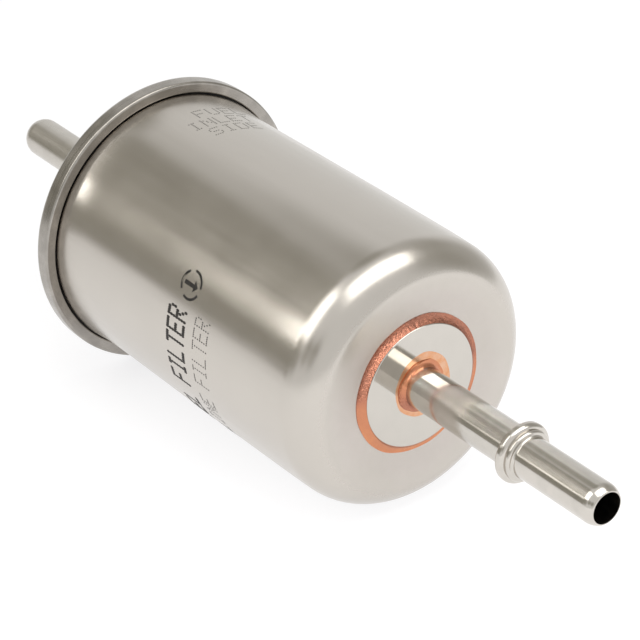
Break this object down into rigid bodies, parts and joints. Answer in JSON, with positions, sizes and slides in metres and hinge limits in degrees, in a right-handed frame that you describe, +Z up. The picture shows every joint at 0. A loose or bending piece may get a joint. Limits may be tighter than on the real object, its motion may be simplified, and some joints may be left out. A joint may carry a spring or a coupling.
{
  "type": "fuel filter",
  "caption": "Inline metal fuel filter: drawn steel can with a rolled seam, brazed end plates and a beaded spigot at each end.",
  "frame": {"origin": "on the filter's axis, halfway along the straight wall of the can, where a band clamp holds it", "axes": "+X along the axis towards the outlet, +Z up, +Y to the left when looking along +X"},
  "size_m": [0.1751, 0.0582, 0.0582],
  "materials": {
    "can_steel": "satin tin plate",
    "cover_steel": "satin tin plate",
    "plate_steel": "bright tin plate",
    "tube_steel": "bright nickel plate",
    "copper_braze": "copper braze, as flowed",
    "sealing_compound": "cured compound",
    "pressed_steel": "galvanised",
    "spring_steel": "drawn wire",
    "filter_paper": "resin treated paper",
    "cap_adhesive": "cured plastisol",
    "grommet_rubber": "matt"
  },
  "bodies": {
    "housing": {"can": "can_steel", "end_cover": "cover_steel", "seam_sealant": "sealing_compound", "outlet_plate": "plate_steel", "outlet_plate_braze": "copper_braze", "outlet_tube": "tube_steel", "outlet_tube_braze": "copper_braze", "inlet_plate": "plate_steel", "inlet_plate_braze": "copper_braze", "inlet_tube": "tube_steel", "inlet_tube_braze": "copper_braze", "spring_seat": "pressed_steel", "element_spring": "spring_steel"},
    "element": {"filter_media": "filter_paper", "media_seam_clip": "pressed_steel", "centre_tube": "pressed_steel", "closed_end_cap": "pressed_steel", "open_end_cap": "pressed_steel", "closed_cap_bond": "cap_adhesive", "open_cap_bond": "cap_adhesive", "outlet_grommet": "grommet_rubber"}
  },
  "joints": [
    {"name": "element_float", "type": "slide", "parent": "housing", "child": "element", "axis": [-1, 0, 0], "range_m": [0, 0.002], "stiffness_N_per_m": 1500, "springref_m": -0.0075, "deforming": ["element_spring"]}
  ]
}
